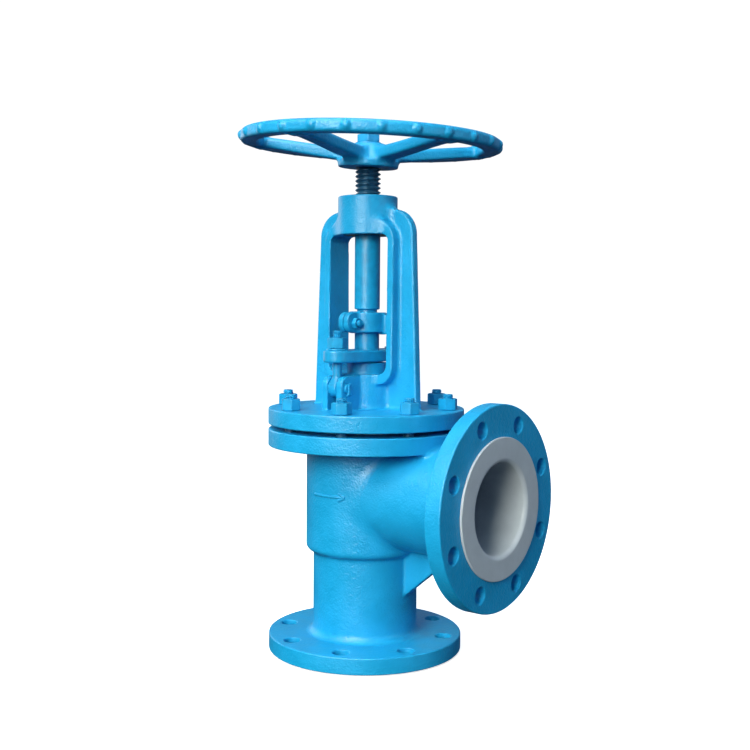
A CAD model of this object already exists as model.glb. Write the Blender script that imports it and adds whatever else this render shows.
"""Looks of a lined angle globe valve: cast body and yoke in blue enamel, and a knuckled handwheel.

Shapes are worked out in millimetres about the stem axis, with heights from the inlet's lining face,
and `mesh_of` turns them to metres in the frame of the CAD.
"""

import math

import bmesh
import bpy
import numpy as np
from mathutils import Matrix, Vector


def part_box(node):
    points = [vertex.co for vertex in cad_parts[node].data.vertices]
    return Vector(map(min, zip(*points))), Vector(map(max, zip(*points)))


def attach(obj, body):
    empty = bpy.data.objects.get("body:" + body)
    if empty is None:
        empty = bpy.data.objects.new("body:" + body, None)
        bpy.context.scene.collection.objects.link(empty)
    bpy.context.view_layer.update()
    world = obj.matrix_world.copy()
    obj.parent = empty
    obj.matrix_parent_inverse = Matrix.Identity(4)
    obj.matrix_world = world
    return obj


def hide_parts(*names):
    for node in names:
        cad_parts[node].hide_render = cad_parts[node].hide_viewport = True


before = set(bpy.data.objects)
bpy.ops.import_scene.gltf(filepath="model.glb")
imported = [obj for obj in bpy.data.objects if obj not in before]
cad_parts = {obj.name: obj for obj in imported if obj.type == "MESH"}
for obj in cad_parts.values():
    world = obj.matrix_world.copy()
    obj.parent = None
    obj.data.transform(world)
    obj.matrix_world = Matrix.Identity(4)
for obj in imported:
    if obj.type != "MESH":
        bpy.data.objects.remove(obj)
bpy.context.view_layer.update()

MM = 0.001
STEM_X = (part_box("spindle")[0].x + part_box("spindle")[1].x) / 2
GAP = 0.3  # clearance between neighbouring parts, as in the CAD

# Bore, lining and casting walls
BORE = 48.0
LINER_FIT = 52.0
FLARE = 74.0
CHAMBER_BORE = 55.0
CHAMBER_FIT = 59.0
NECK = 58.0
CHAMBER = 66.0
SEAT = 124.0
CHAMBER_LOW = 113.0

# Flanges
METAL_LOW = 3.0
FLANGE = 107.5
FLANGE_THICK = 18.0
COVER = 108.5
EDGE = 1.5
BOLT_CIRCLE = 90.0
COVER_CIRCLE = 92.3
BOLT_HOLE = 9.0
OUTLET_Z = 178.0
OUTLET_X = 178.0
OUTLET_METAL = OUTLET_X - METAL_LOW
BODY_COVER_LOW = 230.0
BODY_TOP = 248.8
BONNET_LOW = 253.7
BONNET_TOP = 271.6
DISC = 74.0  # what a pipe flange's fillet grows from, inside the flange
SINK = 0.05  # how far a cast skin stays inside the turned face beside it
STUD_HOLE = 6.2
STUD_HOLE_LOW = 233.5

# Stuffing box, yoke and collar
BOSS = 31.5
BOSS_TOP = 309.6
STEM = 13.6
BOX = 22.3
WINDOW = 40.0
WINDOW_TOP = 461.4
SHOULDER_TOP = 488.0
COLLAR = 32.7
COLLAR_TOP = 503.4
STEM_NUT = 21.0
EAR_TIP = 60.2
EAR_TOP = 308.5

# Gland and swing bolts
GLAND_LOW = 322.0
GLAND_TOP = 334.0
GLAND_WAIST = 23.0
GLAND_END = 15.0
EYE_Y = 50.8
EYE_Z = 295.5
EYE = 9.8
EYE_HALF = 5.7
EAR_IN = 6.0
EAR_OUT = 14.0
PIN = 5.0
PIN_HOLE = 5.3
BOLT = 5.9

# Clamp and spindle
CLAMP_LOW = 352.0
CLAMP_TOP = 375.0
CLAMP_RING = 21.2
LUG_TIP = 38.7
LUG_SHIFT = 2.3
SPINDLE = 14.0
SPINDLE_NECK = 11.0
THREAD_PITCH = 5.0
THREAD_DEPTH = 2.75

# Handwheel
WHEEL_SEAT = 538.7
HUB_LOW = 535.7
HUB_TOP = 560.0
RIM_Z = 562.7
RIM_CENTRE = 132.0
RIM_SHIFT = 2.4
HUB_DROP = 27.7
RIM_FLAT = 6.7  # height at which the rim's top is flat
WHEEL_TILT = math.radians(2.6)
SPOKES = 5
SPOKE_PHASE = math.radians(-14.3)
KNUCKLES = 25
KNUCKLE_PHASE = math.radians(-4)


# ---- surfaces on a grid

def placed(points, place):
    """Every point times a 4 x 4 matrix."""
    if place is None:
        return points
    turn = np.array(place)
    return points @ turn[:3, :3].T + turn[:3, 3]


def ring_faces(rows, columns):
    """Quads between neighbouring rows of a grid whose last column meets its first."""
    index = np.arange(rows * columns).reshape(rows, columns)
    beside = np.roll(index, -1, 1)
    return np.stack([index[:-1], beside[:-1], beside[1:], index[1:]], -1).reshape(-1, 4)


def rounded(corners, step=0.7):
    """An outline from (x, y, radius) corners.

    Each corner's arc has its centre on the bisector, radius / sin(half angle) from the corner,
    and its points turn about it in equal steps.
    """
    spots = np.array([corner[:2] for corner in corners], float)
    pieces = []
    for index, (*_, radius) in enumerate(corners):
        here = spots[index]
        if radius <= 0:
            pieces.append(here[None])
            continue
        before = spots[index - 1] - here
        after = spots[(index + 1) % len(spots)] - here
        before /= np.linalg.norm(before)
        after /= np.linalg.norm(after)
        half = math.acos(float(np.clip(before @ after, -1, 1))) / 2
        bisector = (before + after) / np.linalg.norm(before + after)
        centre = here + bisector * radius / math.sin(half)
        start = here + before * radius / math.tan(half) - centre
        turn = math.pi - 2 * half
        side = 1 if before[0] * after[1] - before[1] * after[0] < 0 else -1
        count = int(np.clip(turn * radius / step, 3, 24))
        angle = side * turn * np.linspace(0, 1, count + 1)
        cos, sin = np.cos(angle), np.sin(angle)
        arc = np.stack([start[0] * cos - start[1] * sin, start[0] * sin + start[1] * cos], -1)
        pieces.append(centre + arc)
    return np.vstack(pieces)


def full_circle(facets):
    """Equal angles round a circle."""
    return np.linspace(0, 2 * math.pi, facets, endpoint=False)


def carried(radius, height, facets, place):
    """Rows of radii and heights carried round Z: x = radius cos angle, y = radius sin angle."""
    angle = full_circle(facets)
    points = np.stack([radius * np.cos(angle), radius * np.sin(angle), height + 0 * angle], -1)
    return placed(points.reshape(-1, 3), place), ring_faces(len(points), facets)


def turned(outline, facets=96, place=None):
    """A (radius, height) outline turned about Z.

    An outline that starts off the axis is a ring, so its last row meets its first.
    """
    outline = np.asarray(outline, float)
    if outline[0, 0] > 0:
        outline = np.vstack([outline, outline[:1]])
    return carried(outline[:, :1], outline[:, 1:], facets, place)


def dense(outline, step):
    """The same outline with extra points, so that none is further than a step from the next."""
    outline = np.asarray(outline, float)
    lengths = np.linalg.norm(np.diff(outline, axis=0), axis=1)
    along = np.concatenate([[0], np.cumsum(lengths)])
    spots = np.union1d(along, np.arange(0, along[-1], step))
    return np.stack([np.interp(spots, along, outline[:, 0]), np.interp(spots, along, outline[:, 1])], -1)


def screwed(outline, pitch, depth, low, high, flat=0.0, facets=48, place=None):
    """A turned outline with a thread between two heights.

    The wave runs from 0 on a crest to 1 in a groove as height / pitch - angle / 2 pi goes round once,
    flattened at both ends by `flat`, and the radius loses depth times the wave.
    """
    outline = dense(outline, pitch / 9)
    radius, height = outline[:, :1], outline[:, 1:]
    share = (height / pitch - full_circle(facets) / (2 * math.pi)) % 1
    wave = np.abs(2 * share - 1)
    wave = np.clip((wave - flat) / (1 - 2 * flat), 0, 1)
    fade = np.clip((height - low) / pitch, 0, 1) * np.clip((high - height) / pitch * 4, 0, 1)
    radius = np.maximum(radius - np.where(radius > depth * 2, depth * wave * fade, 0), 0)
    return carried(radius, height, facets, place)


def hexagon(flats, height, bore, place=None, facets=96):
    """A nut: rows of an outline whose outer radius follows a hexagon.

    The hexagon's radius is a high power mean of the six flats, so the corners are softly rounded,
    and a cone takes the corners off both ends.
    """
    sharpness, cone = 44, math.tan(math.radians(28))
    angle = full_circle(facets)
    sides = np.stack([np.maximum(np.cos(angle - k * math.pi / 3), 0) for k in range(6)])
    radius = flats / 2 / (sides ** sharpness).sum(0) ** (1 / sharpness)
    shoulder = flats / 2 * 0.97
    drop = np.maximum(radius - shoulder, 0) * cone + 0.2
    flat = np.minimum(radius - 0.35, shoulder)
    rows = [
        (bore, 0), (flat, 0), (radius - 0.1, drop * 0.6), (radius, drop + 0.3),
        (radius, height - drop - 0.3), (radius - 0.1, height - drop * 0.6), (flat, height),
        (bore + 0.9, height), (bore, height - 0.9), (bore, 0),
    ]
    radii, heights = np.array([[value + 0 * angle for value in row] for row in rows]).transpose(1, 0, 2)
    return carried(radii, heights, facets, place)


def plate(outline, low, high, edge, place=None):
    """A flat outline given a thickness: at its rounded edge, rows step in along the outline's normal."""
    outline = np.asarray(outline, float)
    along = np.roll(outline, -1, 0) - np.roll(outline, 1, 0)
    normal = np.stack([along[:, 1], -along[:, 0]], -1)
    normal /= np.linalg.norm(normal, axis=1)[:, None]
    turn = np.linspace(0, math.pi / 2, 5)
    inset = np.concatenate([edge * (1 - np.sin(turn)), edge * (1 - np.cos(turn))])
    height = np.concatenate([low + edge * (1 - np.cos(turn)), high - edge * (1 - np.sin(turn))])
    rows = outline[None] - normal[None] * inset[:, None, None]
    middle = np.broadcast_to(outline.mean(0), outline.shape)
    rows = np.concatenate([middle[None], rows, middle[None]])
    height = np.concatenate([[low], height, [high]])
    points = np.concatenate([rows, np.broadcast_to(height[:, None, None], rows.shape[:2] + (1,))], -1)
    return placed(points.reshape(-1, 3), place), ring_faces(len(rows), len(outline))


def wire(path, radius, facets=12):
    """A round section carried along a path, drawn in to a point over a half ball at each end.

    Each ring lies across the path's tangent, turned from a fixed side direction.
    """
    along = np.concatenate([[0], np.cumsum(np.linalg.norm(np.diff(path, axis=0), axis=1))])
    ends = radius * (1 - np.cos(np.linspace(0, math.pi / 2, 5)))
    spots = np.union1d(np.concatenate([ends, along[-1] - ends]), along)
    path = np.stack([np.interp(spots, along, part) for part in path.T], -1)
    tangent = np.gradient(path, axis=0)
    tangent /= np.linalg.norm(tangent, axis=1)[:, None]
    side = np.cross(tangent, (0.31, 0.52, 0.79))
    side /= np.linalg.norm(side, axis=1)[:, None]
    over = np.cross(tangent, side)
    reach = np.minimum(np.minimum(spots, spots[-1] - spots), radius)
    ring = np.sqrt(radius**2 - (radius - reach) ** 2)[:, None, None]
    angle = full_circle(facets)[None, :, None]
    points = path[:, None] + ring * (np.cos(angle) * side[:, None] + np.sin(angle) * over[:, None])
    return points.reshape(-1, 3), ring_faces(len(path), facets)


# ---- blended castings

def corner(a, b, edge):
    """What is inside both fields, with the edge between them rounded to a radius."""
    a, b = a + edge, b + edge
    return np.hypot(np.maximum(a, 0), np.maximum(b, 0)) + np.minimum(np.maximum(a, b), 0) - edge


def blend(a, b, fillet):
    """What is inside either field, with a round fillet of a radius in the corner between them."""
    near = np.hypot(np.maximum(fillet - a, 0), np.maximum(fillet - b, 0))
    return np.maximum(fillet, np.minimum(a, b)) - near


def between(value, low, high):
    """Distance outside a range, negative inside."""
    return np.abs(value - (low + high) / 2) - (high - low) / 2


def slope_of(field, points):
    """The field's gradient from small steps each way."""
    step = 0.02
    parts = []
    for axis in range(3):
        nudge = np.zeros(3)
        nudge[axis] = step
        parts.append((field(points + nudge) - field(points - nudge)) / (2 * step))
    return np.stack(parts, -1)


def settle(field, points, cell):
    """Moves points onto the field's zero level along its gradient."""
    for _ in range(2):
        slope = slope_of(field, points)
        steep = np.maximum((slope**2).sum(-1, keepdims=True), 0.05)
        move = -field(points)[:, None] * slope / steep
        points = points + np.clip(move, -cell, cell)
    return points


def cast(field, low, high, cell, relax=3):
    """The skin of a field, for shapes whose fillets run into one another.

    Surface nets: each lattice cell that the zero level crosses gets one point, the mean of the
    crossings on its edges, and each lattice edge that it crosses gets a quad from the four cells
    round it. The points are then evened out and moved onto the zero level again.
    """
    axes = [np.arange(a, b + cell, cell) for a, b in zip(low, high)]
    shape = tuple(len(axis) for axis in axes)
    lattice = np.stack(np.meshgrid(*axes, indexing="ij"), -1).reshape(-1, 3)
    value = field(lattice).reshape(shape)
    del lattice
    inside = value < 0
    offsets = [(i, j, k) for i in (0, 1) for j in (0, 1) for k in (0, 1)]
    count = np.zeros([n - 1 for n in shape], np.int8)
    for i, j, k in offsets:
        count += inside[i:shape[0] - 1 + i, j:shape[1] - 1 + j, k:shape[2] - 1 + k]
    mixed = (count > 0) & (count < 8)
    cells = np.argwhere(mixed)
    number = np.full(mixed.shape, -1)
    number[mixed] = np.arange(len(cells))

    levels = [value[tuple((cells + offset).T)] for offset in offsets]
    total = np.zeros((len(cells), 3))
    hits = np.zeros(len(cells))
    for first in range(8):
        for second in range(first + 1, 8):
            step = np.array(offsets[second]) - np.array(offsets[first])
            if np.abs(step).sum() != 1:
                continue
            a, b = levels[first], levels[second]
            crossed = (a < 0) != (b < 0)
            share = np.where(crossed, a / np.where(crossed, a - b, 1), 0)
            total += crossed[:, None] * (np.array(offsets[first]) + share[:, None] * step)
            hits += crossed
    origin = np.array([axis[0] for axis in axes])
    points = origin + cell * (cells + total / hits[:, None])

    quads = []
    for axis in range(3):
        u, v = (axis + 1) % 3, (axis + 2) % 3
        here = [slice(None)] * 3
        there = [slice(None)] * 3
        here[axis], there[axis] = slice(0, -1), slice(1, None)
        changed = inside[tuple(here)] != inside[tuple(there)]
        spots = np.argwhere(changed)
        keep = (spots[:, u] > 0) & (spots[:, v] > 0)
        keep &= (spots[:, u] < shape[u] - 1) & (spots[:, v] < shape[v] - 1)
        spots = spots[keep]
        leaving = inside[tuple(here)][tuple(spots.T)]
        back_u, back_v = np.eye(3, dtype=int)[u], np.eye(3, dtype=int)[v]
        ring = [spots - back_u - back_v, spots - back_v, spots, spots - back_u]
        quad = np.stack([number[tuple(cell_spot.T)] for cell_spot in ring], -1)
        quad[~leaving] = quad[~leaving][:, ::-1]
        quads.append(quad)
    faces = np.vstack(quads)

    points = settle(field, points, cell)
    ends = np.concatenate([faces, np.roll(faces, -1, 1)], 0)
    starts = np.concatenate([np.roll(faces, -1, 1), faces], 0)
    for _ in range(relax):
        total = np.zeros_like(points)
        near = np.zeros(len(points))
        np.add.at(total, ends.ravel(), points[starts.ravel()])
        np.add.at(near, ends.ravel(), 1)
        points = points + 0.6 * (total / near[:, None] - points)
        points = settle(field, points, cell)
    return points, faces


# ---- meshes and pieces

def cleaned(mesh, thin, outwards=False):
    """Closes seams up to 2 micrometres wide and drops slivers thinner than `thin` metres."""
    shape = bmesh.new()
    shape.from_mesh(mesh)
    bmesh.ops.remove_doubles(shape, verts=shape.verts, dist=2e-6)
    bmesh.ops.dissolve_degenerate(shape, edges=shape.edges, dist=thin)
    if outwards:
        bmesh.ops.recalc_face_normals(shape, faces=shape.faces)
    shape.to_mesh(mesh)
    shape.free()
    return mesh


def mesh_of(name, shells):
    """One mesh from (points, quads) shells in millimetres, with seams merged and faces outwards."""
    starts = np.cumsum([0] + [len(points) for points, _ in shells])
    points = np.vstack([points for points, _ in shells]) * MM
    points[:, 0] += STEM_X
    faces = np.vstack([quads + start for (_, quads), start in zip(shells, starts)])
    mesh = bpy.data.meshes.new(name)
    mesh.vertices.add(len(points))
    mesh.vertices.foreach_set("co", points.astype(np.float32).ravel())
    mesh.loops.add(faces.size)
    mesh.loops.foreach_set("vertex_index", faces.astype(np.int32).ravel())
    mesh.polygons.add(len(faces))
    mesh.polygons.foreach_set("loop_start", np.arange(0, faces.size, 4, dtype=np.int32))
    mesh.update(calc_edges=True)
    mesh.validate()
    return cleaned(mesh, 1e-7, outwards=True)


CUT, JOIN = "DIFFERENCE", "UNION"


def carved(name, base, *steps):
    """Base shells with Booleans: each step is an operation and the shells of its tool."""
    thing = bpy.data.objects.new(name, mesh_of(name, base))
    bpy.context.scene.collection.objects.link(thing)
    tools = []
    for operation, shells in steps:
        tool = bpy.data.objects.new(name + "_tool", mesh_of(name + "_tool", shells))
        bpy.context.scene.collection.objects.link(tool)
        tools.append(tool)
        modifier = thing.modifiers.new(operation, "BOOLEAN")
        modifier.operation = operation
        modifier.solver = "MANIFOLD"
        modifier.object = tool
    bpy.context.view_layer.update()
    graph = bpy.context.evaluated_depsgraph_get()
    mesh = bpy.data.meshes.new_from_object(thing.evaluated_get(graph))
    for old in [thing, *tools]:
        bpy.data.objects.remove(old, do_unlink=True)
    mesh.name = name
    return cleaned(mesh, 2e-6)


def piece(name, shape, finish, body, slot, *nodes, crease=35):
    """A finished piece from shells or a mesh, riding on a body and standing for CAD nodes."""
    mesh = shape if isinstance(shape, bpy.types.Mesh) else mesh_of(name, shape)
    mesh.materials.clear()
    mesh.materials.append(finish)
    mesh.shade_smooth()
    mesh.set_sharp_from_angle(angle=math.radians(crease))
    thing = bpy.data.objects.new(name, mesh)
    bpy.context.scene.collection.objects.link(thing)
    weighted = thing.modifiers.new("flat faces stay flat", "WEIGHTED_NORMAL")
    weighted.keep_sharp = True
    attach(thing, body)
    if nodes:
        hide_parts(*nodes)
    return thing


def hole(radius, low, high, chamfer=0.8, facets=48, place=None):
    """A drill's shape, which widens at 45 degrees where it passes either face."""
    outline = [
        (0, low - chamfer), (radius + 2 * chamfer, low - chamfer), (radius, low + chamfer),
        (radius, high - chamfer), (radius + 2 * chamfer, high + chamfer), (0, high + chamfer),
    ]
    return turned(outline, facets, place)


def along_x(x=0.0, y=0.0, z=0.0):
    """Lays a shape drawn about Z along +X."""
    return Matrix.Translation((x, y, z)) @ Matrix.Rotation(math.pi / 2, 4, "Y")


def bolt_spots(radius, count=8):
    """Equal steps round a circle, with the axes midway between two bolts."""
    out = Matrix.Translation((radius, 0, 0))
    return [Matrix.Rotation(2 * math.pi * (k + 0.5) / count, 4, "Z") @ out for k in range(count)]


OUTLET_FRAME = along_x(z=OUTLET_Z)
LOCK_SCREW_FRAME = Matrix.Translation((0, 0, 485)) @ Matrix.Rotation(-math.pi / 2, 4, "X")


# ---- materials

def linear(hex_colour):
    """An sRGB hex colour as linear RGBA."""
    parts = [int(hex_colour[k:k + 2], 16) / 255 for k in (0, 2, 4)]
    return (*[c / 12.92 if c <= 0.04045 else ((c + 0.055) / 1.055) ** 2.4 for c in parts], 1.0)


def feed(tree, node, inputs):
    """Gives each named input of a node a value or a link."""
    for socket, value in dict(inputs).items():
        if isinstance(value, bpy.types.NodeSocket):
            tree.links.new(value, node.inputs[socket])
        else:
            node.inputs[socket].default_value = value
    return node


def add(tree, kind, inputs=(), **settings):
    """Adds a node, sets its properties and feeds its inputs."""
    node = tree.nodes.new(kind)
    for key, value in settings.items():
        setattr(node, key, value)
    return feed(tree, node, inputs)


def new_material(name, roughness, metallic=0.0, ior=1.5):
    """A material, its tree, its shader and its Object coordinates."""
    material = bpy.data.materials.new(name)
    material.use_nodes = True
    tree = material.node_tree
    tree.nodes.clear()
    shader = add(tree, "ShaderNodeBsdfPrincipled", {"Roughness": roughness, "Metallic": metallic, "IOR": ior})
    add(tree, "ShaderNodeOutputMaterial", {"Surface": shader.outputs[0]})
    where = add(tree, "ShaderNodeTexCoord").outputs["Object"]
    return material, tree, shader, where


def noise(tree, where, size, detail, roughness=0.5):
    """Cloudy noise from 0 to 1, with blobs of about a size in metres."""
    return add(tree, "ShaderNodeTexNoise", {
        "Vector": where, "Scale": 1 / size, "Detail": detail, "Roughness": roughness}).outputs[0]


def lathe_rings(tree, where, distortion=0.0):
    """Rings round the stem from 0 to 1, about 0.4 mm apart."""
    return add(tree, "ShaderNodeTexWave", {
        "Vector": where, "Scale": 1 / 0.0012, "Distortion": distortion}, bands_direction="Z").outputs[0]


def stretched(tree, value, low, high, first=0.0, last=1.0):
    """The range from low to high spread over first to last."""
    return add(tree, "ShaderNodeMapRange", {"Value": value, 1: low, 2: high, 3: first, 4: last}).outputs[0]


def mixed_colour(tree, share, first, second):
    """A colour between two hex colours by a share from 0 to 1."""
    ends = {6: linear(first), 7: linear(second)}
    return add(tree, "ShaderNodeMix", {0: share, **ends}, data_type="RGBA").outputs[2]


def bumped(tree, height, strength, distance, under=None):
    """The normal that a height gives, on top of another one if there is one."""
    inputs = {"Height": height, "Strength": strength, "Distance": distance}
    if under:
        inputs["Normal"] = under
    return add(tree, "ShaderNodeBump", inputs).outputs[0]


def cast_enamel():
    """Gloss enamel brushed over a sand-cast skin.

    The casting's lumps, 4.5 mm and 1.9 mm across, show through as a soft orange peel, and the
    paint is a little darker where it lies thick.
    """
    material, tree, shader, where = new_material("cast_enamel_blue", 0.37)
    patches = noise(tree, where, 0.035, 3.0, 0.6)
    lumps = bumped(tree, noise(tree, where, 0.0045, 2.0), 0.6, 0.0007)
    feed(tree, shader, {
        "Base Color": mixed_colour(tree, stretched(tree, patches, 0.35, 0.7), "1294CC", "1A9FDA"),
        "Roughness": stretched(tree, patches, 0.3, 0.7, 0.30, 0.44),
        "Normal": bumped(tree, noise(tree, where, 0.0019, 1.0), 0.8, 0.0005, lumps)})
    return material


def painted_steel():
    """The same enamel over forged and turned steel: smoother, with fine ripples."""
    material, tree, shader, where = new_material("painted_steel_blue", 0.36)
    share = stretched(tree, noise(tree, where, 0.012, 3.0), 0.35, 0.7)
    feed(tree, shader, {
        "Base Color": mixed_colour(tree, share, "108AC0", "169CD4"),
        "Normal": bumped(tree, noise(tree, where, 0.002, 2.0), 0.5, 0.0004)})
    return material


def stem_paint():
    """A thin coat over turned steel: fine rings from the lathe under darker blue."""
    material, tree, shader, where = new_material("turned_stem_paint", 0.32)
    share = stretched(tree, noise(tree, where, 0.01, 3.0), 0.35, 0.7)
    feed(tree, shader, {
        "Base Color": mixed_colour(tree, share, "1086BA", "169AD0"),
        "Normal": bumped(tree, lathe_rings(tree, where, 0.3), 0.25, 0.0001)})
    return material


def thread_paint():
    """Threads filled with dark grease and a stain of blue: darker and shinier than the paint."""
    material, tree, shader, where = new_material("greased_thread", 0.3, metallic=0.2)
    smears = noise(tree, where, 0.004, 4.0)
    feed(tree, shader, {
        "Base Color": mixed_colour(tree, smears, "143C54", "2F7098"),
        "Normal": bumped(tree, smears, 0.3, 0.0003)})
    return material


def moulded_lining():
    """Moulded grey fluoroplastic: waxy satin, faintly mottled, with very fine moulding grain."""
    material, tree, shader, where = new_material("grey_fluoroplastic", 0.34, ior=1.38)
    feed(tree, shader, {
        "Base Color": mixed_colour(tree, noise(tree, where, 0.02, 4.0), "AAB2BC", "C0C8D2"),
        "Normal": bumped(tree, noise(tree, where, 0.0012, 2.0), 0.25, 0.0001)})
    return material


def machined_bronze():
    """Turned bronze: warm metal with lathe rings and dull patches."""
    material, tree, shader, where = new_material("machined_bronze", 0.35, metallic=1.0)
    feed(tree, shader, {
        "Base Color": mixed_colour(tree, noise(tree, where, 0.006, 4.0), "A97C3B", "C99A55"),
        "Normal": bumped(tree, lathe_rings(tree, where), 0.2, 0.0001)})
    return material


def white_packing():
    """Pressed white sealing rings: matt plastic with a soft mottle."""
    material, tree, shader, where = new_material("pressed_white_rings", 0.55, ior=1.35)
    feed(tree, shader, {"Base Color": mixed_colour(tree, noise(tree, where, 0.005, 3.0), "D9D9D2", "EBEBE6")})
    return material


ENAMEL = cast_enamel()
STEEL = painted_steel()
STEM_BLUE = stem_paint()
THREAD = thread_paint()
LINING = moulded_lining()
BRONZE = machined_bronze()
PACKING = white_packing()


def steel_piece(name, shape, *nodes, body="valve_body"):
    """A piece of painted steel."""
    piece(name, shape, STEEL, body, "painted_steel", *nodes)


# ---- body

def body_field(points):
    """Neck, chamber and branch with their fillets, thin discs for the flanges, and the gusset."""
    x, y, z = points.T
    out = np.hypot(x, y)
    reach = np.hypot(y, z - OUTLET_Z)
    neck = np.maximum(out - NECK, between(z, METAL_LOW + 4, 200))
    chamber = corner(out - CHAMBER, between(z, CHAMBER_LOW, 244), 7)
    shell = blend(neck, chamber, 4)
    inlet = corner(out - DISC, between(z, METAL_LOW + 3, METAL_LOW + FLANGE_THICK - SINK), 1)
    shell = blend(shell, inlet, 9)
    branch = np.maximum(reach - NECK, between(x, 0, OUTLET_METAL - 4))
    outlet = corner(reach - DISC, between(x, OUTLET_METAL - FLANGE_THICK + SINK, OUTLET_METAL - 3), 1)
    branch = blend(branch, outlet, 9)
    shell = blend(shell, branch, 6)
    cover = corner(out - (COVER - SINK), between(z, BODY_COVER_LOW + SINK, BODY_TOP - 1), EDGE)
    shell = blend(shell, cover, 6)
    foot_x, foot_z, run, rise, half = 58, 69, 64, 53, 5
    edge = ((x - foot_x) * rise - (z - foot_z) * run) / math.hypot(rise, run)
    gusset = corner(edge, np.abs(y) - half, 1.5)
    inside_branch = np.maximum(x - 126, z - 140)
    gusset = np.maximum(gusset, np.maximum(inside_branch, 30 - x))
    return blend(shell, gusset, 2.5)


def flange(radius, low, high, place=None):
    """A turned disc with rounded edges."""
    outline = rounded([(0, low, 0), (radius, low, EDGE), (radius, high, EDGE), (0, high, 0)])
    return turned(outline, 160, place)


def make_body():
    """The cast skin with its flanges, then the lining's room and every bolt hole cut out."""
    core = cast(body_field, (-112, -112, 3), (176, 112, 256), 1.9)
    discs = [
        flange(FLANGE, METAL_LOW, METAL_LOW + FLANGE_THICK),
        flange(COVER, BODY_COVER_LOW, BODY_TOP),
    ]
    outlet = [flange(FLANGE, OUTLET_METAL - FLANGE_THICK, OUTLET_METAL, OUTLET_FRAME)]
    fit = LINER_FIT + GAP
    room = CHAMBER_FIT + GAP
    cavity = [turned([
        (0, -2), (fit, -2), (fit, SEAT - 4.3), (room, SEAT - 4.3), (room, BODY_TOP + 3), (0, BODY_TOP + 3),
    ], 96)]
    side = [turned([(0, 0), (fit, 0), (fit, OUTLET_X), (0, OUTLET_X)], 96, OUTLET_FRAME)]
    holes = []
    for spot in bolt_spots(BOLT_CIRCLE):
        holes.append(hole(BOLT_HOLE, METAL_LOW, METAL_LOW + FLANGE_THICK, place=spot))
        holes.append(hole(BOLT_HOLE, OUTLET_METAL - FLANGE_THICK, OUTLET_METAL, place=OUTLET_FRAME @ spot))
    for spot in bolt_spots(COVER_CIRCLE):
        drill = [(0, STUD_HOLE_LOW), (STUD_HOLE, STUD_HOLE_LOW), (STUD_HOLE, BODY_TOP + 3.2), (0, BODY_TOP + 3.2)]
        holes.append(turned(drill, 32, spot))
    mesh = carved(
        "body_casting", [core],
        (JOIN, discs), (JOIN, outlet),
        (CUT, cavity), (CUT, side), (CUT, holes),
    )
    piece("body_casting", mesh, ENAMEL, "valve_body", "cast_paint", "body")


def make_flow_arrow():
    """A plain raised arrow on the chamber that points to the outlet: rods half sunk in its side.

    The path's angle round the stem is its length along the chamber over the chamber's radius.
    """
    tip, length, barb, spread, rod = math.radians(-71), 44, 8.5, 4.2, 1.7
    radius = CHAMBER - 0.3
    strokes = []
    for start in ((-length, 0), (-barb, spread), (-barb, -spread)):
        along, height = np.array(start)[:, None] * (1 - np.linspace(0, 1, 40))
        angle = tip + along / CHAMBER
        path = np.stack([radius * np.cos(angle), radius * np.sin(angle), OUTLET_Z + 2 + height], -1)
        strokes.append(wire(path, rod))
    piece("flow_arrow", strokes, ENAMEL, "valve_body", "cast_paint")


def lip(radius, face, straight):
    """The bore's outline where it rounds out onto a flange face."""
    edge = 5
    turn = np.linspace(0, math.pi / 2, 9)
    return [(radius + edge * (1 - math.sin(t)), face + straight * edge * (1 - math.cos(t))) for t in turn]


def make_body_lining():
    """The inlet ring, tube, seat and chamber turned about the stem, with the outlet's ring and tube."""
    top = BODY_TOP + GAP
    outer = rounded([
        (0, 0, 0), (FLARE, 0, 0.9), (FLARE, METAL_LOW - GAP, 0.5), (LINER_FIT, METAL_LOW - GAP, 0),
        (LINER_FIT, SEAT - 4, 0), (CHAMBER_FIT, SEAT - 4, 0), (CHAMBER_FIT, top, 0), (FLARE, top, 0),
        (FLARE, top + 2, 0.6), (0, top + 2, 0),
    ])
    branch = rounded([
        (0, 0, 0), (LINER_FIT, 0, 0), (LINER_FIT, OUTLET_METAL + GAP, 0), (FLARE, OUTLET_METAL + GAP, 0.5),
        (FLARE, OUTLET_X, 0.9), (0, OUTLET_X, 0),
    ])
    bore = np.array([(0, -3), (BORE + 5, -3)] + lip(BORE, 0, 1) + [
        (BORE, SEAT - 1.5), (BORE + 1.5, SEAT), (CHAMBER_BORE - 1, SEAT), (CHAMBER_BORE, SEAT + 1),
        (CHAMBER_BORE, top + 5), (0, top + 5)])
    side = np.array([
        (0, OUTLET_X + 3), (BORE + 5, OUTLET_X + 3)] + lip(BORE, OUTLET_X, -1) + [(BORE, 0), (0, 0)])
    mesh = carved(
        "body_lining", [turned(outer, 144)],
        (JOIN, [turned(branch, 144, OUTLET_FRAME)]),
        (CUT, [turned(bore, 144)]), (CUT, [turned(side, 144, OUTLET_FRAME)]),
    )
    piece("body_lining", mesh, LINING, "valve_body", "lining", "body_liner")


# ---- bonnet and yoke

def window_field(x, z):
    """The opening between the arms, seen along Y, with round corners."""
    side = np.abs(x) - WINDOW
    return np.maximum(corner(side, BOSS_TOP - z, 11), corner(side, z - WINDOW_TOP, 8))


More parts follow.
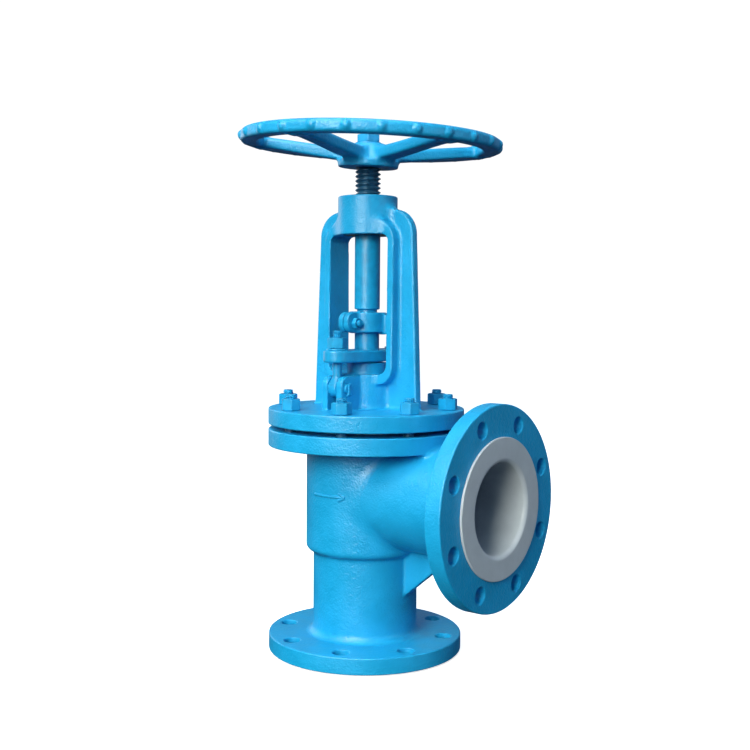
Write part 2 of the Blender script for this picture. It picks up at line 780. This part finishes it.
def bonnet_field(points):
    """Boss, ears, rim round the window, web outside it and collar, blended and cut through.

    The web's sides lean in from a foot on the cover, by `lean` over `rise`, and the rim's half depth
    falls with height.
    """
    x, y, z = points.T
    out = np.hypot(x, y)
    wide, deep = np.abs(x), np.abs(y)
    base = corner(out - 86, between(z, BONNET_LOW + 3, BONNET_TOP - SINK), 1)
    boss = np.maximum(out - BOSS, between(z, BONNET_LOW + 4, BOSS_TOP + 1))
    ears = corner(deep - EAR_TIP, z - EAR_TOP, 10.5)
    ears = corner(ears, between(wide, EAR_IN, EAR_OUT), 1.6)
    ears = np.maximum(ears, np.maximum(20 - deep, BONNET_LOW + 5 - z))
    foot, foot_z, rise, lean, slant = 72.3, 262.65, 225.35, 8.9, 225.53
    side = ((wide - foot) * rise + (z - foot_z) * lean) / slant
    web = corner(corner(side, z - SHOULDER_TOP, 26.5), deep - 5, 1.8)
    web = np.maximum(web, BONNET_LOW + 5 - z)
    half = 18 - 1.5 * (z - BOSS_TOP) / (WINDOW_TOP - BOSS_TOP)
    rim_wide, rim_low, rim_top = wide - 48, 299 - z, z - 476.2
    outer = np.maximum(corner(rim_wide, rim_low, 19), corner(rim_wide, rim_top, 23.5))
    rim = corner(outer, deep - half, 1.5)
    collar = corner(out - COLLAR, between(z, WINDOW_TOP - 12, COLLAR_TOP), 1.6)
    shell = blend(base, boss, 6)
    shell = blend(shell, ears, 1.6)
    shell = blend(shell, web, 5)
    shell = blend(shell, rim, 4)
    shell = blend(shell, collar, 10)
    shell = corner(shell, -window_field(x, z), 0.9)
    slot = np.maximum(wide - EAR_IN, np.maximum(37 - deep, BONNET_TOP + 2 - z))
    return np.maximum(shell, -slot)


def make_bonnet():
    """The cast yoke on its cover disc, with every bore cut out."""
    core = cast(bonnet_field, (-90, -90, BONNET_LOW + 1), (90, 90, 506), 1.35)
    disc = [flange(COVER, BONNET_LOW, BONNET_TOP)]
    stem_way = [turned([
        (0, BONNET_LOW - 5), (STEM + GAP, BONNET_LOW - 5), (STEM + GAP, BONNET_LOW + 10.4),
        (BOX, BONNET_LOW + 10.4), (BOX, BOSS_TOP - 1), (BOX + 4, BOSS_TOP + 3), (0, BOSS_TOP + 3),
    ], 72)]
    head = STEM_NUT + 5 + GAP
    body, step = STEM_NUT + GAP, WINDOW_TOP + 6.3
    nut_way = [turned([
        (0, WINDOW_TOP - 4), (head, WINDOW_TOP - 4), (head, step), (body, step),
        (body, COLLAR_TOP - 1), (body + 3, COLLAR_TOP + 2), (0, COLLAR_TOP + 2),
    ], 72)]
    holes = [hole(7, BONNET_LOW, BONNET_TOP, 0.4, 32, spot) for spot in bolt_spots(COVER_CIRCLE)]
    for y in (-EYE_Y, EYE_Y):
        holes.append(hole(PIN_HOLE, -EAR_OUT, EAR_OUT, 0.4, 32, along_x(y=y, z=EYE_Z)))
    screw = [turned([(0, 15), (3.3, 15), (3.3, 32), (5, 33.7), (0, 33.7)], 24, LOCK_SCREW_FRAME)]
    mesh = carved(
        "yoke_bonnet_casting", [core], (JOIN, disc),
        (CUT, stem_way), (CUT, nut_way), (CUT, holes), (CUT, screw),
    )
    piece("yoke_bonnet_casting", mesh, ENAMEL, "valve_body", "cast_paint", "bonnet")


# ---- gland, ears' bolts and fasteners

def gland_field(points):
    """A plate that narrows to a round end at each bolt: circles joined by their common tangents."""
    x, y, z = points.T
    wide, deep = np.abs(x), np.abs(y)
    lean = (GLAND_WAIST - GLAND_END) / EYE_Y
    upright = math.sqrt(1 - lean * lean)
    along = deep * upright - wide * lean
    side = wide * upright + deep * lean - GLAND_WAIST
    side = np.where(along < 0, np.hypot(wide, deep) - GLAND_WAIST, side)
    outline = np.where(along > EYE_Y * upright, np.hypot(wide, deep - EYE_Y) - GLAND_END, side)
    body = corner(outline, between(z, GLAND_LOW + 1, GLAND_TOP + 1.8), 2.0)
    bolt_hole = 6.5
    return corner(body, bolt_hole - np.hypot(wide, deep - EYE_Y), 0.8)


def eyebolt_field(y0):
    """The field of the swing bolt at a place on Y."""
    def field(points):
        """A flat eye about X and a round shank that grows out of it with a fillet."""
        x, y, z = points.T
        eye = corner(np.hypot(y - y0, z - EYE_Z) - EYE, np.abs(x) - EYE_HALF, 2.2)
        shank = np.maximum(np.hypot(x, y - y0) - 4.9, between(z, EYE_Z, 336))
        return blend(eye, shank, 4)
    return field


def clamp_field(points):
    """Ring, two lugs split a little beside the axis and a guide arm that reaches the window's edge."""
    x, y, z = points.T
    high = between(z, CLAMP_LOW + 2.9, CLAMP_TOP + 1.8)
    ring = corner(np.hypot(x, y) - CLAMP_RING, high, 1.5)
    ends = corner(-y - LUG_TIP, high, 9.5)
    beside = np.abs(x + LUG_SHIFT)
    lug = corner(np.maximum(ends, y + 15), beside - 6.9, 1.1)
    arm = corner(between(z, CLAMP_LOW + 0.9, CLAMP_TOP - 0.9), between(y, 2, 14), 1.5)
    arm = corner(arm, between(x, 15, 39.5), 1.5)
    shell = blend(blend(ring, lug, 3.5), arm, 4)
    split = np.maximum(beside - 0.45, y + 4)
    return np.maximum(shell, -split)


def make_split_pins(y):
    """The two legs of the split pin at a swing pin's end, bent apart."""
    turn = np.linspace(-1, 1, 25)
    bend = (np.clip(np.abs(turn) - 0.55, 0, 1) / 0.45) ** 2
    legs = []
    for leg in (-1, 1):
        out = 17.0 + 1.3 * bend * (turn > 0)
        apart = leg * (0.7 + 3.2 * bend * (turn < 0))
        legs.append(wire(np.stack([out, y + apart, EYE_Z - 1 + 6.6 * turn], -1), 1.15))
    return legs


def make_gland():
    """The gland's plate and bush, and on each side a swing bolt with its pin, washer and nut."""
    plate_shape = cast(gland_field, (-25, -67, 320), (25, 67, 338), 0.9)
    snug, wide = STEM + GAP, STEM + 2.3
    bore = [turned([(0, 318), (wide, 318), (snug, 324), (snug, 334), (wide, 336.5), (0, 336.5)], 72)]
    mesh = carved("gland_plate", [plate_shape], (CUT, bore))
    steel_piece("gland_plate", mesh, "gland_flange")
    low, high = (end.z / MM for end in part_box("gland_bush"))
    bush = rounded([(snug, low, 0), (BOX - GAP, low, 0), (BOX - GAP, high, 0.5), (snug, high, 0)])
    steel_piece("gland_bush_ring", [turned(bush, 72)], "gland_bush")

    pins, washers, nuts = [], [], []
    washer_low, nut_low, nut_high = GLAND_TOP + 2, GLAND_TOP + 4.1, 11.5
    tip = nut_low + nut_high + 7.5
    for side, lean in ((-1, 12), (1, 31)):
        y = side * EYE_Y
        upright = Matrix.Translation((0, y, 0))
        hub = along_x(y=y, z=EYE_Z)
        low, high = (-12, y - 13, EYE_Z - 13), (12, y + 13, 338)
        eye = cast(eyebolt_field(y), low, high, 0.9)
        thread = [(0, 318), (4.8, 318), (4.8, tip - 1), (3.8, tip), (0, tip)]
        pins.append(turned(rounded([(0, -15.8, 0), (PIN, -15.8, 0.8), (PIN, 16.2, 1.0), (0, 16.2, 0)]), 40, hub))
        pins += make_split_pins(y)
        washers.append(turned(rounded([
            (6.2, washer_low, 0), (11.5, washer_low, 0.4), (11.5, nut_low - GAP, 0.6),
            (6.2, nut_low - GAP, 0)]), 48, upright))
        turn = Matrix.Rotation(math.radians(lean), 4, "Z")
        nuts.append(hexagon(18.5, nut_high, 5, Matrix.Translation((0, y, nut_low)) @ turn))
        name = "front" if side < 0 else "back"
        mesh = carved(f"swing_bolt_{name}", [eye], (
            JOIN, [screwed(thread, 1.5, 0.8, 320, tip - 0.4, 0.12, 40, upright)]),
            (CUT, [turned([(0, -20), (PIN_HOLE, -20), (PIN_HOLE, 20), (0, 20)], 32, hub)]))
        steel_piece(f"swing_bolt_{name}", mesh, f"eyebolt_{name}")
    steel_piece("swing_pins", pins, "eyebolt_pin_front", "eyebolt_pin_back")
    steel_piece("gland_washer_pair", washers, "gland_washer_front", "gland_washer_back")
    steel_piece("gland_nut_pair", nuts, "gland_nut_front", "gland_nut_back")


def make_cover_fasteners():
    """Studs through both cover flanges, bare and dark in the gap, with a nut on each."""
    nut_turns = (0, 12, -9, 21, 5, -22, 16, 4)
    nut_low, nut_high = BONNET_TOP + GAP, 12.2
    tip = nut_low + nut_high + 4.6
    join = BONNET_TOP - 3
    outline = [(0, join), (BOLT, join), (BOLT, tip - 1.2), (BOLT - 1.2, tip), (0, tip)]
    bare = [(0, 233.8), (BOLT, 233.8), (BOLT, join - 0.05), (0, join - 0.05)]
    studs, shanks, nuts = [], [], []
    for spot, turn in zip(bolt_spots(COVER_CIRCLE), nut_turns):
        studs.append(screwed(outline, 1.75, 1.0, 276, tip - 0.4, 0.12, 32, spot))
        shanks.append(turned(bare, 32, spot))
        on_cover = spot @ Matrix.Translation((0, 0, nut_low)) @ Matrix.Rotation(math.radians(turn), 4, "Z")
        nuts.append(hexagon(19, nut_high, 6.2, on_cover))
    steel_piece("cover_stud_set", studs, *[f"cover_stud_{k}" for k in range(1, 9)])
    piece("cover_stud_shanks", shanks, THREAD, "valve_body", "painted_steel")
    steel_piece("cover_nut_set", nuts, *[f"cover_nut_{k}" for k in range(1, 9)])


# ---- stem side

def make_stem():
    """The plain stem with the groove that the clamp's rib sits in, the plug, the clamp and its screw."""
    low, high = (end.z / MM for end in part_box("lower_stem"))
    middle, groove, half = (CLAMP_LOW + high) / 2, 11.6, 2.3
    outline = rounded([
        (0, low, 0), (STEM, low, 0.6), (STEM, middle - half, 0), (groove, middle - half, 0),
        (groove, middle + half, 0), (STEM, middle + half, 0), (STEM, high, 0.5), (0, high, 0)])
    piece("sliding_stem", [turned(outline, 72)], STEM_BLUE, "stem", "stem_paint", "lower_stem")

    plug_low = 140.3
    hub = STEM + GAP + 8.5
    top = plug_low + 42
    outline = rounded([
        (0, plug_low - 8, 0), (36, plug_low - 8, 2), (44, plug_low, 1.5), (BORE + 4, plug_low, 1),
        (BORE + 4, plug_low + 11, 2), (hub, plug_low + 22, 4), (hub, top, 1.5), (STEM + GAP, top, 0),
        (STEM + GAP, top - 32.3, 0), (0, top - 32.3, 0)])
    piece("lined_plug", [turned(outline, 96)], LINING, "stem", "lining", "plug")

    shell = cast(clamp_field, (-24, -41, 350), (42, 24, 379), 0.9)
    button_top = CLAMP_TOP - 4
    button_low = button_top - 6.4 - 0.6
    mid = (CLAMP_LOW + button_low) / 2
    wide = STEM + GAP
    way = [turned([
        (0, CLAMP_LOW - 4), (wide, CLAMP_LOW - 4), (wide, mid - 2), (wide - 2, mid - 2), (wide - 2, mid + 2),
        (wide, mid + 2), (wide, button_top), (SPINDLE_NECK + GAP, button_top), (SPINDLE_NECK + GAP, CLAMP_TOP),
        (SPINDLE_NECK + GAP + 3, CLAMP_TOP + 3), (0, CLAMP_TOP + 3)], 72)]
    bolt_z = (CLAMP_LOW + CLAMP_TOP) / 2 + 1.6
    bolt_place = along_x(y=-(LUG_TIP - 11.5), z=bolt_z) @ Matrix.Translation((0, 0, -LUG_SHIFT))
    drill = [turned([(0, -12), (4.3, -12), (4.3, 12), (0, 12)], 32, bolt_place)]
    mesh = carved("split_clamp", [shell], (CUT, way), (CUT, drill))
    steel_piece("split_clamp", mesh, "stem_clamp", body="stem")
    head = turned(rounded([(0, -8.6, 0), (5.2, -8.6, 1.2), (6.0, -6.8, 0), (0, -6.8, 0)], 0.3), 40, bolt_place)
    shank = [(0, -8), (3.6, -8), (3.6, 14.9), (2.8, 15.7), (0, 15.7)]
    shank = screwed(shank, 1.25, 0.7, 6, 15.6, 0.12, 32, bolt_place)
    steel_piece("clamp_screw", [head, shank], "clamp_bolt", body="stem")
    nut_place = bolt_place @ Matrix.Translation((0, 0, 7.2))
    steel_piece("clamp_screw_nut", [hexagon(11, 5.2, 3.8, nut_place, 72)], "clamp_nut", body="stem")


def make_spindle():
    """Button, neck, shank, trapezoidal thread, square and wheel thread, and the nut in the collar."""
    button_top = CLAMP_TOP - 4 - GAP
    button_low, plain, top = button_top - 6.4, CLAMP_TOP + 5, WHEEL_SEAT - 0.1
    outline = [
        (0, button_low), (STEM - 0.5, button_low), (STEM, button_top - 5.9), (STEM, button_top),
        (SPINDLE_NECK, button_top), (SPINDLE_NECK, plain - 0.6), (SPINDLE_NECK + 0.6, plain),
        (SPINDLE - 1, plain), (SPINDLE, plain + 1), (SPINDLE, WHEEL_SEAT - 2.5), (SPINDLE - 1, top), (0, top),
    ]
    shank = screwed(outline, THREAD_PITCH, THREAD_DEPTH, WINDOW_TOP + 1, WHEEL_SEAT - 3, 0.18, 96)
    half = 8.5
    square = rounded([(-half, -half, 0.8), (half, -half, 0.8), (half, half, 0.8), (-half, half, 0.8)])
    tip = HUB_TOP + 2 + 8.5 + 4.7
    stud = [(0, HUB_TOP - 3), (7.9, HUB_TOP - 3), (7.9, tip - 1.4), (6.5, tip), (0, tip)]
    shells = [
        shank,
        plate(square, WHEEL_SEAT - 1.2, HUB_TOP - 0.6, 0.4),
        screwed(stud, 2.0, 1.1, HUB_TOP, tip - 0.4, 0.12, 48),
    ]
    spindle = piece("threaded_spindle", shells, STEM_BLUE, "wheel_and_spindle", "stem_paint", "spindle")
    mesh = spindle.data
    mesh.materials.append(THREAD)
    centres = np.empty(len(mesh.polygons) * 3)
    mesh.polygons.foreach_get("center", centres)
    height = centres[2::3] / MM
    dark = ((height > WINDOW_TOP + 1) & (height < WHEEL_SEAT)) | (height > HUB_TOP)
    mesh.polygons.foreach_set("material_index", dark.astype(np.int32))

    inner, head = SPINDLE + GAP, STEM_NUT + 5
    low, step, high = WINDOW_TOP + GAP, WINDOW_TOP + 6, COLLAR_TOP - GAP
    outline = rounded([
        (inner, low, 0.5), (head, low, 0.5), (head, step, 0.3), (STEM_NUT, step, 0), (STEM_NUT, high, 0.5),
        (inner, high, 0.8)])
    piece("bronze_stem_nut", [turned(outline, 72)], BRONZE, "valve_body", "bronze", "stem_nut")
    outline = rounded([
        (0, STEM_NUT + GAP, 0), (3, STEM_NUT + GAP, 0.4), (3, COLLAR - GAP, 0.4), (1.8, COLLAR - GAP, 0),
        (1.4, COLLAR - 3, 0), (0, COLLAR - 3, 0)], 0.3)
    steel_piece("nut_lock_screw", [turned(outline, 24, LOCK_SCREW_FRAME)], "stem_nut_screw")


def make_bonnet_lining():
    """A turned pad under the cover, with a lip that seals on the body's lining."""
    top = BONNET_LOW - GAP
    low = top - 2
    outline = rounded([
        (STEM + GAP, low - 6, 0.5), (CHAMBER_BORE - GAP, low - 6, 1.5), (CHAMBER_BORE - GAP, low, 0.3),
        (FLARE, low, 0.5), (FLARE, top, 0.5), (STEM + GAP, top, 0)])
    piece("bonnet_lining", [turned(outline, 144)], LINING, "valve_body", "lining", "bonnet_liner")


# ---- handwheel

def folded(angle, phase, count):
    """The angle from the nearest of `count` equal directions."""
    pitch = 2 * math.pi / count
    return (angle - phase + pitch / 2) % pitch - pitch / 2


def wheel_field(points):
    """Flat-topped rim with round edges and knuckles outside, spokes, and a hub with a stepped cone.

    A knuckle is an ellipsoid. A spoke's middle falls from the rim to the hub as the mean of a
    straight line and a smooth step, and the spoke narrows outwards.
    """
    x, y, z = points.T
    about = np.hypot(x - RIM_SHIFT, y)
    rim = corner(corner(np.abs(about - RIM_CENTRE) - 10, z - RIM_FLAT, 5.2), -6.9 - z, 3.6)
    turn = folded(np.arctan2(y, x - RIM_SHIFT), KNUCKLE_PHASE, KNUCKLES)
    reach, deep, wide, high = 138.5, 6.4, 6, 5.3
    out, side = about * np.cos(turn) - reach, about * np.sin(turn)
    level = np.sqrt((out / deep) ** 2 + (side / wide) ** 2 + (np.maximum(z, -z * 0.8) / high) ** 2)
    rim = blend(rim, (level - 1) * wide, 1.2)

    root, skirt_high = 20, 7.5
    share = np.clip((np.hypot(x, y) - root) / (RIM_CENTRE - root), 0, 1)
    sx = x - RIM_SHIFT * share
    along = np.hypot(sx, y)
    turn = folded(np.arctan2(y, sx), SPOKE_PHASE, SPOKES)
    u, v = along * np.cos(turn), along * np.sin(turn)
    share = np.clip((u - root) / (RIM_CENTRE - root), 0, 1)
    low = -HUB_DROP + skirt_high + 6.5
    middle = low * (1 - (share + share**2 * (3 - 2 * share)) / 2) - 1.5 * share
    wide, high = 12 - 3 * share, 6.8 - 0.8 * share
    spoke = corner(corner(np.abs(v) - wide, z - middle - high, 4.4), middle - z - high, 2.6)
    spoke = np.maximum(spoke, between(u, 5, RIM_CENTRE))

    out = np.hypot(x, y)
    skirt = corner(out - 33, between(z, -HUB_DROP, -HUB_DROP + skirt_high), 1.5)
    run, rise = 8.5, 15.3
    cone = ((out - 28.5) * rise + (z + HUB_DROP - 9) * run) / math.hypot(run, rise)
    cone = corner(cone, between(z, -HUB_DROP + 3, -HUB_DROP + 26), 1.5)
    hub = blend(skirt, cone, 2.5)
    return np.maximum(blend(blend(hub, spoke, 6), rim, 5), z - RIM_FLAT)


def make_wheel():
    """The casting, leaned after it is cast and bored for the spindle, with its washer and nut."""
    lean = Matrix.Rotation(WHEEL_TILT, 4, "Y")
    place = Matrix.Translation((0, 0, WHEEL_SEAT)) @ lean @ Matrix.Translation((0, 0, RIM_Z - WHEEL_SEAT))
    points, faces = cast(wheel_field, (-149, -149, -30), (150, 149, 11), 1.45)
    core = placed(points, place), faces
    half = 8.8
    square = [(-half, -half), (half, -half), (half, half), (-half, half)]
    bore, seat = SPINDLE + GAP, WHEEL_SEAT + GAP
    cuts = [
        [plate(square, HUB_LOW - 5, HUB_TOP + 9, 0.0)],
        [turned([
            (0, HUB_LOW - 3), (SPINDLE + 2.3, HUB_LOW - 3), (bore, HUB_LOW + 0.6), (bore, seat), (0, seat)], 72)],
        [turned([(0, HUB_TOP), (30, HUB_TOP), (30, HUB_TOP + 12), (0, HUB_TOP + 12)], 72)],
    ]
    mesh = carved("wheel_casting", [core], *[(CUT, cut) for cut in cuts])
    piece("wheel_casting", mesh, ENAMEL, "wheel_and_spindle", "cast_paint", "handwheel")
    bore, low, high = 8.2, HUB_TOP + GAP, HUB_TOP + 2
    washer = rounded([(bore, low, 0), (14.8, low, 0.4), (14.8, high, 0.6), (bore, high, 0)])
    steel_piece("wheel_washer_ring", [turned(washer, 64)], "wheel_washer", body="wheel_and_spindle")
    spot = Matrix.Translation((0, 0, HUB_TOP + 2.3)) @ Matrix.Rotation(math.radians(38.6), 4, "Z")
    steel_piece("wheel_lock_nut", [hexagon(24, 8.5, bore, spot)], "wheel_nut", body="wheel_and_spindle")


make_body()
make_flow_arrow()
make_body_lining()
make_bonnet()
make_bonnet_lining()
make_gland()
make_cover_fasteners()
make_stem()
make_spindle()
make_wheel()
for name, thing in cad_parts.items():
    if name.startswith("packing"):
        thing.data.materials.clear()
        thing.data.materials.append(PACKING)


# ---- floor, light and camera

def make_floor():
    """A wide pale sheet under the inlet face, as bright as the white air round it."""
    mesh = bpy.data.meshes.new("pale_floor")
    reach = 6.0
    corners = [(-reach, -reach, 0), (reach, -reach, 0), (reach, reach, 0), (-reach, reach, 0)]
    mesh.from_pydata(corners, [], [(0, 1, 2, 3)])
    floor = bpy.data.objects.new("pale_floor", mesh)
    material, tree, shader, where = new_material("matt_paper", 0.9)
    feed(tree, shader, {
        "Base Color": mixed_colour(tree, noise(tree, where, 0.05, 3.0), "F4F4F4", "F8F8F8"),
        "Emission Color": (1.0, 1.0, 1.0, 1.0), "Emission Strength": 0.85})
    mesh.materials.append(material)
    bpy.context.scene.collection.objects.link(floor)
    floor.visible_diffuse = False
    floor.visible_glossy = False


def area_light(name, azimuth, elevation, distance, size, watts, colour, aim=0.22, spread=180):
    """A square soft light aimed above the origin, whose beam a grid can narrow."""
    light = bpy.data.lights.new(name, "AREA")
    light.shape = "SQUARE"
    light.size = size
    light.energy = watts
    light.color = colour
    light.spread = math.radians(spread)
    thing = bpy.data.objects.new(name, light)
    az, el = math.radians(azimuth), math.radians(elevation)
    out = Vector((math.cos(az) * math.cos(el), math.sin(az) * math.cos(el), math.sin(el)))
    thing.location = Vector((0.0, 0.0, aim)) + out * distance
    thing.rotation_euler = out.to_track_quat("Z", "Y").to_euler()
    bpy.context.scene.collection.objects.link(thing)


def make_light():
    """Soft boxes above and in front, weak fills beside and behind, and air that is darker below."""
    area_light("high_box", -100, 47, 2.8, 1.4, 41, (1.0, 1.0, 0.85))
    area_light("low_box", -77, 23, 2.6, 1.2, 10.0, (1.0, 1.0, 0.85), 0.06, 60)
    area_light("top_box", -90, 80, 2.2, 1.3, 19, (1.0, 1.0, 0.97))
    area_light("side_fill", 10, 10, 2.4, 1.2, 5, (0.9, 0.96, 1.0))
    area_light("back_fill", 170, 12, 3.0, 1.6, 14, (1.0, 1.0, 1.0))
    world = bpy.data.worlds.new("studio_air")
    world.use_nodes = True
    tree = world.node_tree
    tree.nodes.clear()
    where = add(tree, "ShaderNodeTexCoord")
    height = add(tree, "ShaderNodeSeparateXYZ", {0: where.outputs["Generated"]})
    level = stretched(tree, height.outputs[2], -0.15, 0.15, 0.04, 0.33)
    dim = add(tree, "ShaderNodeBackground", {"Color": (0.58, 0.86, 1.16, 1.0), "Strength": level})
    white = add(tree, "ShaderNodeBackground", {"Color": (1.0, 1.0, 1.0, 1.0), "Strength": 1.05})
    seen = add(tree, "ShaderNodeLightPath")
    mix = add(tree, "ShaderNodeMixShader", {
        0: seen.outputs["Is Camera Ray"], 1: dim.outputs[0], 2: white.outputs[0]})
    add(tree, "ShaderNodeOutputWorld", {"Surface": mix.outputs[0]})
    bpy.context.scene.world = world


def make_camera():
    """A camera fitted to the flanges, yoke and wheel of the picture.

    Its angles are in radians, its spot is in millimetres from the stem axis and the inlet's metal
    face, and its focal length and the shift of its middle are in the picture's pixels.
    """
    yaw, pitch, roll = 2.2356, -0.0622, 0.008
    spot_x, spot_y, spot_z = 766.75, -961.99, 380.30
    picture, focal, shift, sensor = 750, 1109.95, 0.65, 36.0
    forward = Vector((math.cos(pitch) * math.cos(yaw), math.cos(pitch) * math.sin(yaw), math.sin(pitch)))
    level = forward.cross(Vector((0, 0, 1))).normalized()
    upright = level.cross(forward)
    right = math.cos(roll) * level + math.sin(roll) * upright
    up = -math.sin(roll) * level + math.cos(roll) * upright
    camera = bpy.data.cameras.new("studio_camera")
    camera.sensor_width = sensor
    camera.lens = focal / picture * sensor
    camera.shift_x = -shift / picture
    camera.shift_y = shift / picture
    camera.clip_end = 50.0
    thing = bpy.data.objects.new("studio_camera", camera)
    matrix = Matrix((right, up, -forward)).transposed().to_4x4()
    matrix.translation = Vector((spot_x * MM + STEM_X, spot_y * MM, (spot_z + METAL_LOW) * MM))
    thing.matrix_world = matrix
    bpy.context.scene.collection.objects.link(thing)
    bpy.context.scene.camera = thing


make_floor()
make_light()
make_camera()
bpy.context.scene.view_settings.view_transform = "Standard"
